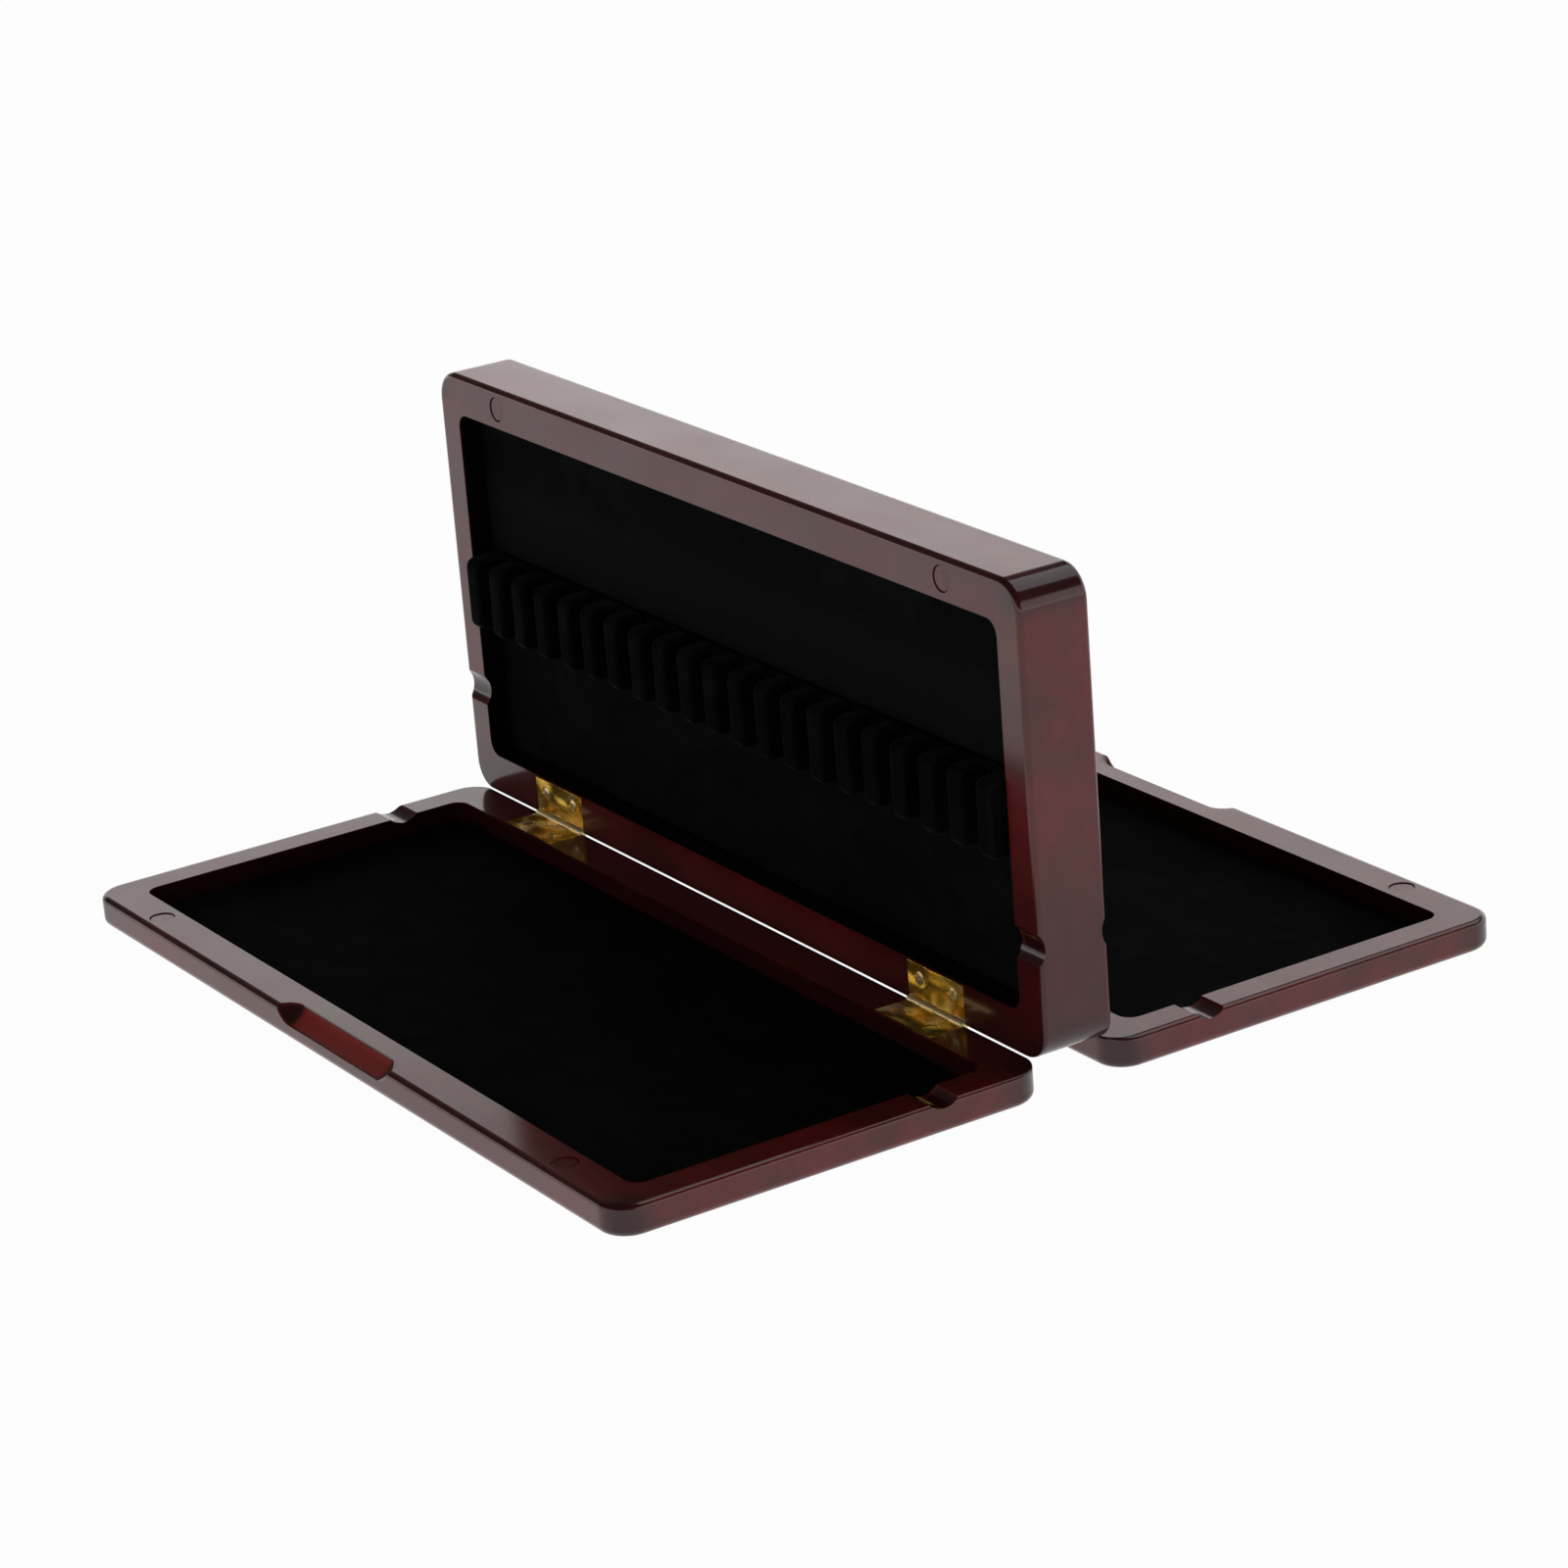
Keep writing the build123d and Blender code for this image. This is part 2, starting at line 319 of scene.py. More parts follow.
def combine(piece, operation, *tools):
    """Cut a piece with other pieces, or unite it with them."""
    for tool in tools:
        apply(piece, "BOOLEAN", operation=operation, solver="EXACT", object=tool)
        bpy.data.objects.remove(tool)
    return piece


def duplicate(piece, name, place):
    """A copy with its own mesh, settled at a place."""
    twin = piece.copy()
    twin.data = piece.data.copy()
    bpy.context.scene.collection.objects.link(twin)
    twin.name = twin.data.name = name
    return settle(twin, place)


def join(name, parts):
    """Join parts to one piece."""
    deselect()
    for part in parts:
        part.select_set(True)
    bpy.context.view_layer.objects.active = parts[0]
    if len(parts) > 1:
        bpy.ops.object.join()
    parts[0].name = parts[0].data.name = name
    return parts[0]


def mend(piece, span=0.002 * MM):
    """Merge doubles and turn all faces outwards."""
    with editing(piece):
        bpy.ops.mesh.select_all(action="SELECT")
        bpy.ops.mesh.remove_doubles(threshold=span)
        bpy.ops.mesh.normals_make_consistent(inside=False)
    return piece


def smooth(piece, degrees=32):
    """Smooth shading that keeps flat faces flat."""
    make_active(piece)
    bpy.ops.object.shade_smooth_by_angle(angle=math.radians(degrees))
    return apply(piece, "WEIGHTED_NORMAL", mode="FACE_AREA", weight=50, keep_sharp=True)


def dress(piece, material, body, slot, *nodes):
    """Give a piece its material and its body, and hide the solids that it stands for. The slot is
    not used.
    """
    piece.data.materials.clear()
    piece.data.materials.append(material)
    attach(piece, body)
    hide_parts(*nodes)
    return piece


def repaint(node, material):
    """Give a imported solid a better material."""
    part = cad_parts[node]
    for slot in part.material_slots:
        slot.material = material


# Shader helpers


class Value:
    """A shader socket whose arithmetic adds Math nodes."""

    def __init__(self, shader, socket):
        self.shader, self.socket = shader, socket

    def math(self, operation, *values):
        return self.shader.math(operation, self, *values)

    def __add__(self, other):
        return self.math("ADD", other)

    def __sub__(self, other):
        return self.math("SUBTRACT", other)

    def __rsub__(self, other):
        return self.shader.math("SUBTRACT", other, self)

    def __mul__(self, other):
        return self.math("MULTIPLY", other)

    def __pow__(self, other):
        return self.math("POWER", other)

    __radd__ = __add__

    def __abs__(self):
        return self.math("ABSOLUTE")

    def least(self, other):
        return self.math("MINIMUM", other)

    def most(self, other):
        return self.math("MAXIMUM", other)

    def step(self, low, high):
        """0 below low and 1 above high, smooth between them; low may be the greater."""
        return self.shader.node(
            "ShaderNodeMapRange",
            {"interpolation_type": "SMOOTHSTEP"},
            {"Value": self, "From Min": low, "From Max": high},
        )


class Shader:
    """The nodes of a material or of a world, each made by one method."""

    def __init__(self, owner, output="ShaderNodeOutputMaterial"):
        owner.use_nodes = True
        self.owner, self.tree = owner, owner.node_tree
        self.tree.nodes.clear()
        self.output = self.tree.nodes.new(output)

    @classmethod
    def material(cls, name):
        """The nodes of a new material."""
        return cls(bpy.data.materials.new(name))

    def node(self, kind, settings=None, values=None, out=0):
        """A node of a type with its settings and socket values or links, as one of its outputs."""
        made = self.tree.nodes.new(kind)
        for name, value in (settings or {}).items():
            setattr(made, name, value)
        for name, value in (values or {}).items():
            socket = (
                made.inputs[name]
                if isinstance(name, int)
                else next(s for s in made.inputs if s.name == name and s.enabled)
            )
            if isinstance(value, Value):
                self.tree.links.new(value.socket, socket)
            elif socket.type == "RGBA":
                socket.default_value = (*value, 1.0)
            else:
                socket.default_value = value
        if isinstance(out, str):
            return Value(self, next(s for s in made.outputs if s.name == out and s.enabled))
        return Value(self, [s for s in made.outputs if s.enabled][out])

    def math(self, operation, *values):
        return self.node("ShaderNodeMath", {"operation": operation}, dict(enumerate(values)))

    def vector(self, operation, *values, out=0):
        return self.node(
            "ShaderNodeVectorMath", {"operation": operation}, dict(enumerate(values)), out
        )

    def mix(self, share, first, second, blend="MIX"):
        """A colour between two."""
        return self.node(
            "ShaderNodeMix",
            {"data_type": "RGBA", "blend_type": blend},
            {"Factor": share, "A": first, "B": second},
        )

    def place(self):
        """Object coordinates, in metres."""
        return self.node("ShaderNodeTexCoord", out="Object")

    def split(self, vector):
        return [self.node("ShaderNodeSeparateXYZ", values={0: vector}, out=i) for i in range(3)]

    def noise(self, place, stretch, detail, rough=0.5, swirl=0.0):
        """Noise whose grains have the stretch's sizes, in millimetres."""
        spread = tuple(1 / (MM * s) for s in stretch)
        return self.node(
            "ShaderNodeTexNoise",
            {"noise_dimensions": "3D"},
            {
                "Vector": self.vector("MULTIPLY", place, spread),
                "Scale": 1.0,
                "Detail": detail,
                "Roughness": rough,
                "Distortion": swirl,
            },
        )

    def edges(self, radius, low, high):
        """1 along the edges and 0 on the flats, from how far a rounded normal turns."""
        soft = self.node("ShaderNodeBevel", {"samples": 4}, {"Radius": radius})
        flat = self.node("ShaderNodeNewGeometry", out="Normal")
        return 1 - self.vector("DOT_PRODUCT", soft, flat, out="Value").step(low, high)

    def bump(self, height, strength, distance):
        return self.node(
            "ShaderNodeBump",
            values={"Strength": strength, "Distance": distance, "Height": height},
        )

    def end(self, surface):
        """Link a shader to the output, and give back the material or the world."""
        self.tree.links.new(surface.socket, self.output.inputs["Surface"])
        return self.owner

    def finish(self, **values):
        """End in a Principled BSDF, whose sockets are named with underscores."""
        named_values = {name.replace("_", " "): value for name, value in values.items()}
        return self.end(self.node("ShaderNodeBsdfPrincipled", values=named_values))


def rounded_depth(u, v, half_u, half_v, radius):
    """Depth inside a rounded rectangle: positive inside it and negative outside."""
    over_u, over_v = abs(u) - (half_u - radius), abs(v) - (half_v - radius)
    corner = (over_u.most(0.0) ** 2 + over_v.most(0.0) ** 2).math("SQRT")
    return radius - corner - over_u.most(over_v).least(0.0)


def lacquered_wood(name, middle, standing):
    """Red-brown stained wood under clear lacquer. Darker along the outer edges, partly staining and
    partly painted dark reflection; painted shade in the recess, vents and corners, painted light in
    the cove, and a painted highlight along the recess's edge.
    """
    wood, tones = sizes("case_wood"), sizes("case_colours")
    s = Shader.material(name)
    place = s.vector("SUBTRACT", s.place(), middle)
    x, y, z = s.split(place)
    across, out = (z, y) if standing else (y, z)
    half_gauge = (FRAME_HIGH.y - FRAME_LOW.y) / 2 if standing else LID_HIGH.z / 2

    # Depths from the outer outline, the recess's outline and the rim's face
    wobble = s.noise(place, (14, 14, 14), detail=3) - 0.5
    outer = rounded_depth(x, across, HALF_LENGTH, HALF_WIDTH, wood.corner)
    recess_end, recess_side = HALF_LENGTH - wood.end_rim, HALF_WIDTH - wood.rim_width
    inner = rounded_depth(x, across, recess_end, recess_side, wood.recess_corner)
    face = half_gauge - abs(out)
    long_edge = ((HALF_WIDTH - abs(across)) ** 2 + face**2).math("SQRT") + wobble * (0.5 * MM)
    carved = outer.least(face).step(0.25 * MM, 0.6 * MM) * (1 - outer.step(5.5 * MM, 6.5 * MM))
    inner_edge = (inner**2 + face**2).math("SQRT") + wobble * (0.2 * MM)

    # Grain
    figure = s.noise(place, (34, 7, 9), detail=4, rough=0.5, swirl=0.5).step(0.22, 0.80)
    clouds = s.noise(place, (26, 16, 20), detail=2).step(0.30, 0.75)
    fibre = s.noise(place, (9, 0.5, 0.6), detail=6, rough=0.65)
    tone = s.mix(figure * 0.6 + clouds * 0.4, tones.wood_dark, tones.wood_red)
    tone = s.mix(fibre.step(0.45, 0.75) * 0.45, tone, tones.wood_dark)

    # Darker along the long edges, in the carved vents and at the cove's round ends: partly
    # staining, partly painted shade and painted dark reflection. Painted light in the cove's
    # straight run, painted shade in the recess, at the corners and by the hinges, a painted
    # highlight along the recess's edge
    run = 1 - abs(x).step(wood.cove_half - 1.5 * MM, wood.cove_half + 0.5 * MM)
    stain_and_shade = (1 - long_edge.step(0.3 * MM, 1.2 * MM)).most(carved)
    tone = s.mix(stain_and_shade * (1 - run * carved) * 0.8, tone, tones.dark_stain_and_shade)
    # Painted light: the cove's straight run in a brighter red
    tone = s.mix(carved * run * 0.9, tone, tones.cove_lit_red)
    # Painted shade on the recess's walls, deepest on the end walls
    wall_shade = inner.step(-0.35 * MM, -0.05 * MM)
    if not standing:
        wall_shade = wall_shade * (out + half_gauge).step(0.3 * MM, 0.8 * MM)
    ends = abs(x).step(recess_end - 1.5 * MM, recess_end - 0.5 * MM)
    tone = s.mix(wall_shade * (0.78 + ends * 0.17), tone, tones.dark_stain_and_shade)
    # Painted shade and painted dark reflection at the rims' corners
    near_end = (abs(x) + wobble * (4 * MM)).step(HALF_LENGTH - 9 * MM, HALF_LENGTH - 2 * MM)
    near_side = (abs(across) + wobble * (4 * MM)).step(HALF_WIDTH - 9 * MM, HALF_WIDTH - 2 * MM)
    tone = s.mix(near_end * near_side * 0.85, tone, tones.dark_stain_and_shade)
    if standing:
        # Painted shade on the lower right of the centre's rims, by the hinges
        low_end_shade = (1 - across.step(-30 * MM, 5 * MM)) * x.step(10 * MM, 90 * MM)
        tone = s.mix(low_end_shade * 0.6, tone, tones.dark_stain_and_shade)
        # Painted shade: the centre's recess walls darkened to the velvet's black
        tone = s.mix(wall_shade * 0.9, tone, tones.velvet)
    # Painted highlight: lighter red along the recess's inner edge
    highlight = (1 - inner_edge.step(0.1 * MM, 0.5 * MM)) * 0.35
    tone = s.mix(highlight, tone, tones.wood_red)

    rubbed = 1 - long_edge.step(0.2 * MM, 1.0 * MM)
    haze = s.noise(place, (22, 22, 22), detail=2)
    orange_peel = s.noise(place, (1.6, 1.6, 1.6), detail=2)
    height = orange_peel * 0.5 + fibre * 0.18
    return s.finish(
        Base_Color=tone,
        Roughness=0.40 + haze * 0.16 + rubbed * 0.1,
        Specular_IOR_Level=0.05,
        Coat_Weight=(1.0 - clouds * 0.12) * (1 - rubbed * 0.25),
        Coat_Roughness=0.12,
        Coat_IOR=1.50,
        Normal=s.bump(height, 0.12, 0.04 * MM),
    )


def velvet_cloth(name, brushed_and_lit, sheen=0.004, band=0.0, crest_sheen=0.0):
    """Black velvet with a nap, paler in patches, with a painted lit band over the rack and painted
    sheen along the bars' crests.
    """
    tones = sizes("case_colours")
    s = Shader.material(name)
    place = s.place()
    nap = s.noise(place, (18, 12, 12), detail=3, swirl=0.8).step(0.38, 0.70)
    pile = s.noise(place, (0.22, 0.22, 0.22), detail=2)
    lint = s.noise(place, (1.1, 1.1, 1.1), detail=1).step(0.79, 0.83)
    # Painted light: a paler band across the centre's faces over the rack
    height = s.split(place)[2] - (CENTRE_MIDDLE + 13 * MM)
    pale = (1 - (abs(height) + nap * 4 * MM).step(3 * MM, 15 * MM)) * band
    tone = s.mix((nap * 0.5 + brushed_and_lit + pale).least(1.0), tones.velvet, tones.velvet_light)
    # Painted sheen: paler along the bars' rounded edges
    ridge = s.edges(0.8 * MM, 0.92, 0.999)
    tone = s.mix((ridge + pile * 0.2 * ridge) * crest_sheen, tone, tones.velvet_sheen)
    tone = s.mix(lint * 0.3, tone, tones.lint)
    return s.finish(
        Base_Color=tone,
        Roughness=0.86 + pile * 0.12,
        Specular_IOR_Level=0.02,
        Sheen_Weight=sheen,
        Sheen_Roughness=0.35,
        Sheen_Tint=(0.80, 0.86, 0.86),
        Normal=s.bump(pile + nap * 2.0, 0.5, 0.10 * MM),
    )


def polished_brass(name, pale=0.0, dented=2.2):
    """Yellow brass, rubbed along its edges, tarnished in patches and dented, the dents in mm."""
    tones = sizes("case_colours")
    s = Shader.material(name)
    place = s.place()
    edge = s.edges(0.14 * MM, 0.80, 0.99)
    patches = s.noise(place, (3.4, 3.0, 3.0), detail=0, swirl=0.3).step(0.30, 0.70)
    dents = s.noise(place, (5.6, 4.4, 4.4), detail=0)
    brushing = s.noise(place, (1.6, 0.10, 0.10), detail=2)
    y, z = s.split(place)[1:]
    from_pin = ((abs(y) - PIN_OUT) ** 2 + (z - PIN.z) ** 2).math("SQRT")
    # Partly a painted highlight: the knuckles and pins in paler brass
    barrel = 1 - from_pin.step(0.80 * MM, 0.95 * MM)
    tone = s.mix(patches * (1 - edge), tones.brass_light, tones.brass_deep)
    tone = s.mix((barrel * 0.8).most(pale), tone, tones.barrel)
    return s.finish(
        Base_Color=tone,
        Metallic=0.88,
        Roughness=0.17 + patches * 0.08 + brushing * 0.05 + barrel.most(pale) * 0.12,
        Normal=s.bump(brushing * 0.01 + dents * (1 - barrel), 1.0, dented * MM),
    )


def lacquered_magnet(name):
    """A steel-cased magnet under red lacquer."""
    tones = sizes("case_colours")
    s = Shader.material(name)
    place = s.place()
    mottle = s.noise(place, (2.0, 2.0, 2.0), detail=3).step(0.35, 0.68)
    dust = s.noise(place, (0.4, 0.4, 0.4), detail=2)
    darker = s.mix(1.0, tones.magnet, (0.45, 0.32, 0.30), "MULTIPLY")
    return s.finish(
        Base_Color=s.mix(mottle, tones.magnet, darker),
        Roughness=0.40 + dust * 0.2,
        Specular_IOR_Level=0.05,
        Coat_Weight=0.95 - mottle * 0.1,
        Coat_Roughness=0.12,
        Coat_IOR=1.50,
        Normal=s.bump(mottle + dust * 0.5, 0.2, 0.04 * MM),
    )


def fibre_board(name):
    """Brown fibre board, pressed and a little fluffy."""
    tones = sizes("case_colours")
    s = Shader.material(name)
    place = s.place()
    chips = s.noise(place, (1.8, 0.7, 0.7), detail=5, rough=0.7)
    darker = s.mix(1.0, tones.board, (0.55, 0.5, 0.45), "MULTIPLY")
    return s.finish(
        Base_Color=s.mix(chips.step(0.35, 0.65), tones.board, darker),
        Roughness=0.75 + chips * 0.2,
        Normal=s.bump(chips, 0.4, 0.1 * MM),
    )


# Wooden pieces


def rounded_block(name, half_x, half_y, low, high, radius, segments):
    """A block with round corners in plan."""
    piece = block(name, (-half_x, -half_y, low), (half_x, half_y, high))
    with editing(piece):
        pick(piece, "edges", upright)
        bpy.ops.mesh.bevel(offset=radius, segments=segments, affect="EDGES", clamp_overlap=False)
    return piece


def cut_recess(piece, wood, low):
    """Cut the recess for the reeds down from the rim."""
    tool = rounded_block(
        "recess_cutter",
        HALF_LENGTH - wood.end_rim,
        HALF_WIDTH - wood.rim_width,
        low,
        5 * MM,
        wood.recess_corner,
        6,
    )
    return combine(piece, "DIFFERENCE", tool)


def vent_tool(wood):
    """The round bar that cuts the vent channels of one rim."""
    row = (0, wood.vent_row - HALF_WIDTH, wood.vent_radius - wood.vent_depth)
    return rod("vent_cutter", row, wood.vent_radius, 2.2 * HALF_LENGTH, "X", 48)


def cut_cove(piece, wood):
    """Cut the finger cove with a long ball-nosed tool."""
    chord = math.hypot(wood.cove_depth, wood.cove_height)
    reach = math.sqrt(wood.cove_radius**2 - chord**2 / 4)
    out = reach * wood.cove_height / chord - wood.cove_depth / 2
    up = reach * wood.cove_depth / chord - wood.cove_height / 2
    deselect()
    bpy.ops.mesh.primitive_uv_sphere_add(
        segments=40,
        ring_count=20,
        radius=wood.cove_radius,
        location=(-wood.cove_half, HALF_WIDTH + out, up),
        rotation=(0, QUARTER_TURN, 0),
    )
    tool = named("cove_cutter")
    with editing(tool, "FACE"):
        pick(tool, "faces", lambda f: f.calc_center_median().x > -wood.cove_half)
        bpy.ops.mesh.extrude_region_move(
            TRANSFORM_OT_translate={"value": (2 * wood.cove_half, 0, 0)}
        )
    return combine(piece, "DIFFERENCE", mend(tool))


def round_edges(piece, wood, weigh):
    """Round the sharp edges, each by its weight.

    The outer edges are rounded before the cuts, whose short edges hold the width down.
    """
    mesh = bmesh.new()
    mesh.from_mesh(piece.data)
    bmesh.ops.dissolve_limit(
        mesh, angle_limit=math.radians(0.5), verts=mesh.verts, edges=mesh.edges
    )
    layer = mesh.edges.layers.float.new("bevel_weight_edge")
    for edge in mesh.edges:
        sharp = len(edge.link_faces) == 2 and edge.calc_face_angle() > math.radians(34)
        edge[layer] = weigh(edge) if sharp else 0.0
    mesh.to_mesh(piece.data)
    mesh.free()
    return apply(
        piece,
        "BEVEL",
        limit_method="WEIGHT",
        width=wood.outer_round,
        segments=4,
        use_clamp_overlap=True,
        miter_outer="MITER_ARC",
    )


def edge_weight(wood, floor, cove=False):
    """How far an edge of a rim is rounded."""
    cove_x = wood.cove_half + wood.cove_radius + 0.5 * MM
    cove_y = HALF_WIDTH - wood.cove_depth - 0.3 * MM

    def weigh(edge):
        middle = (edge.verts[0].co + edge.verts[1].co) / 2
        if middle.z < floor:
            return 0.0
        outside = middle.y > HALF_WIDTH - 0.02 * MM and middle.z > -0.02 * MM
        if cove and abs(middle.x) < cove_x and middle.y > cove_y and not outside:
            return wood.cove_share
        over_x = abs(middle.x) - (HALF_LENGTH - wood.end_rim)
        over_y = abs(middle.y) - (HALF_WIDTH - wood.rim_width)
        if max(over_x, over_y) < 0.2 * MM:
            return wood.inner_share
        up = min(1.0, (middle.y + HALF_WIDTH) / wood.corner)
        return wood.hinge_share + (1 - wood.hinge_share) * up

    return weigh


def cut_seats(piece, place):
    """Cut the hinge mortises, knuckle grooves, screw holes and magnet pockets of one rim."""
    hinge = sizes("case_hinges")
    edge = PIN_ROW + hinge.reach + hinge.fit
    leaves, grooves, holes = [], [], []
    for side in (-1, 1):
        middle = side * PIN.x
        half = hinge.half + hinge.fit
        leaves.append(
            block(
                "mortise", (middle - half, PIN_ROW - MM, -hinge.gauge), (middle + half, edge, MM)
            )
        )
        grooves.append(
            rod("groove", (middle, PIN_ROW, hinge.above), hinge.knuckle + hinge.room, 2 * half, "X")
        )
        for end in (-1, 1):
            x, y = middle + end * hinge.screw_half, PIN_ROW + hinge.screw_row
            spot = (x, y, -hinge.screw_depth / 2)
            holes.append(rod("pilot", spot, hinge.shank + 0.02 * MM, hinge.screw_depth, sides=12))
        sunk = hinge.magnet_sunk + hinge.magnet_gauge
        spot = (side * MAGNET_X, MAGNET_ROW, MM / 2 - sunk / 2)
        holes.append(rod("pocket", spot, hinge.magnet + hinge.magnet_fit, sunk + MM, sides=48))
    for tool in (join("mortises", leaves), join("grooves", grooves), join("holes", holes)):
        combine(piece, "DIFFERENCE", settle(tool, place))


class REEDCASE_OT_lids(bpy.types.Operator):
    """Build both wooden lid trays"""

    bl_idname = "reedcase.lids"
    bl_label = "Lid trays"

    def execute(self, context):
        wood = sizes("case_wood")
        base = -(LID_HIGH.z - LID_LOW.z)
        tray = rounded_block("lid", HALF_LENGTH, HALF_WIDTH, base, 0, wood.corner, 10)
        with editing(tray):
            pick(tray, "edges", lambda e: at_level(e, base))
            bpy.ops.mesh.bevel(offset=wood.back_round, segments=6, affect="EDGES")
        round_edges(tray, wood, edge_weight(wood, base / 2))
        cut_recess(tray, wood, base + wood.floor)
        combine(tray, "DIFFERENCE", vent_tool(wood))
        cut_cove(tray, wood)
        round_edges(tray, wood, edge_weight(wood, base + wood.floor + 0.1 * MM, cove=True))
        cut_seats(tray, Matrix.Identity(4))
        mend(tray)
        twin = duplicate(tray, "front_lid_shell", FRONT_LID)
        settle(tray, BACK_LID)
        tray.name = tray.data.name = "back_lid_shell"
        for piece, hand, side in ((twin, "front", 1), (tray, "back", -1)):
            smooth(piece)
            middle = (0, side * LID_MIDDLE, LID_HIGH.z / 2)
            material = lacquered_wood(f"{hand}_lid_lacquer", middle, standing=False)
            dress(piece, material, f"{hand}_lid", "lacquered_wood", f"{hand}_lid_tray")
        return {"FINISHED"}


class REEDCASE_OT_centre(bpy.types.Operator):
    """Build the centre frame and finish the board inside it"""

    bl_idname = "reedcase.centre"
    bl_label = "Centre frame"

    def execute(self, context):
        wood = sizes("case_wood")
        base = -(FRAME_HIGH.y - FRAME_LOW.y)
        rim = rounded_block("centre", HALF_LENGTH, HALF_WIDTH, base, 0, wood.corner, 10)
        round_edges(rim, wood, edge_weight(wood, 2 * base))
        cut_recess(rim, wood, base - MM)
        for place in (Matrix.Identity(4), OTHER_FACE):
            combine(rim, "DIFFERENCE", settle(vent_tool(wood), place))
        round_edges(rim, wood, edge_weight(wood, 2 * base))
        for place in (Matrix.Identity(4), OTHER_FACE):
            cut_seats(rim, place)
        mend(rim)
        settle(rim, FRONT_FACE)
        rim.name = rim.data.name = "centre_rim"
        smooth(rim)
        material = lacquered_wood("centre_lacquer", (0, 0, CENTRE_MIDDLE), standing=True)
        dress(rim, material, "centre", "lacquered_wood", "centre_frame")
        repaint("centre_partition", fibre_board("partition_board"))
        return {"FINISHED"}


# Velvet pieces

# Rows of faces along and across a bed, which let its top be uneven, and the size of its waves
BED_ROWS = (46, 18)
BED_WAVES = 16 * MM
STRIP_ROUND = 0.3 * MM
# How far a rack bar leans, in degrees, and strays along and across its row, in millimetres
BAR_LEAN = 0.7
BAR_STRAY = (0.12, 0.15)


def velvet_bed(name, low, high):
    """A thin pad that fills a recess: rolled at its edges and a little uneven."""
    wood, velvet = sizes("case_wood"), sizes("case_velvet")
    half_x, half_y = LID_BED_HIGH.x, (LID_BED_HIGH.y - LID_BED_LOW.y) / 2
    piece = rounded_block(name, half_x, half_y, low, high, wood.recess_corner, 5)
    with editing(piece):
        pick(piece, "edges", lambda e: at_level(e, high))
        bpy.ops.mesh.bevel(offset=velvet.roll, segments=3, affect="EDGES")
        for half, rows, along in zip((half_x, half_y), BED_ROWS, ((1, 0, 0), (0, 1, 0))):
            for i in range(1, rows):
                bpy.ops.mesh.select_all(action="SELECT")
                spot = Vector(along) * (half * (2 * i / rows - 1))
                bpy.ops.mesh.bisect(plane_co=spot, plane_no=along)
    mend(piece)
    clouds = bpy.data.textures.new("nap", "CLOUDS")
    clouds.noise_scale = BED_WAVES
    top = piece.vertex_groups.new(name="top")
    level = high - 0.5 * velvet.roll
    top.add([v.index for v in piece.data.vertices if v.co.z > level], 1.0, "REPLACE")
    apply(
        piece,
        "DISPLACE",
        texture=clouds,
        texture_coords="LOCAL",
        direction="Z",
        strength=velvet.nap,
        mid_level=0.9,
        vertex_group="top",
    )
    bpy.data.textures.remove(clouds)
    smooth(piece, 60)
    return piece


class REEDCASE_OT_beds(bpy.types.Operator):
    """Build the velvet beds of the lids and of the centre"""

    bl_idname = "reedcase.beds"
    bl_label = "Velvet beds"

    def execute(self, context):
        lid_velvet = velvet_cloth("lid_velvet", brushed_and_lit=0.20)
        # The centre's velvet is a paler copy of the lids', painted light, with the painted lit band
        face_velvet = velvet_cloth("face_velvet", brushed_and_lit=0.45, sheen=0.010, band=0.9)
        lid = velvet_bed("lid_bed", LID_BED_LOW.z - LID_HIGH.z, LID_BED_HIGH.z - LID_HIGH.z)
        face = velvet_bed("face_bed", FRAME_LOW.y - BED_HIGH.y, FRAME_LOW.y - BED_LOW.y)
        rows = (
            (lid, "front_lid_bed", FRONT_LID, "front_lid", "front_lid_velvet"),
            (lid, "back_lid_bed", BACK_LID, "back_lid", "back_lid_velvet"),
            (face, "front_face_bed", FRONT_FACE, "centre", "front_velvet_bed"),
            (face, "back_face_bed", BACK_FACE, "centre", "back_velvet_bed"),
        )
        for source, name, place, body, node in rows:
            bed = duplicate(source, name, place)
            material = face_velvet if body == "centre" else lid_velvet
            dress(bed, material, body, "velvet", node)
        for source in (lid, face):
            bpy.data.objects.remove(source)
        return {"FINISHED"}


def span_y(edge):
    """How far an edge runs along Y."""
    return abs(edge.verts[0].co.y - edge.verts[1].co.y)


def rack_bar(velvet, low, high, half_y):
    """One velvet-covered bar, round at its ends and along its sides."""
    half = velvet.bar_width / 2
    bar = block("bar", (-half, -half_y, low), (half, half_y, high))
    with editing(bar):
        pick(bar, "edges", lambda e: at_level(e, high) and span_y(e) < MM)
        bpy.ops.mesh.bevel(offset=velvet.bar_end, segments=5, affect="EDGES")
        pick(
            bar,
            "edges",
            lambda e: len(e.link_faces) == 2
            and e.calc_face_angle() > math.radians(60)
            and min(v.co.z for v in e.verts) > low - 0.01 * MM
            and not at_level(e, low),
        )
        bpy.ops.mesh.bevel(offset=velvet.bar_side, segments=4, affect="EDGES")
    return smooth(mend(bar), 50)


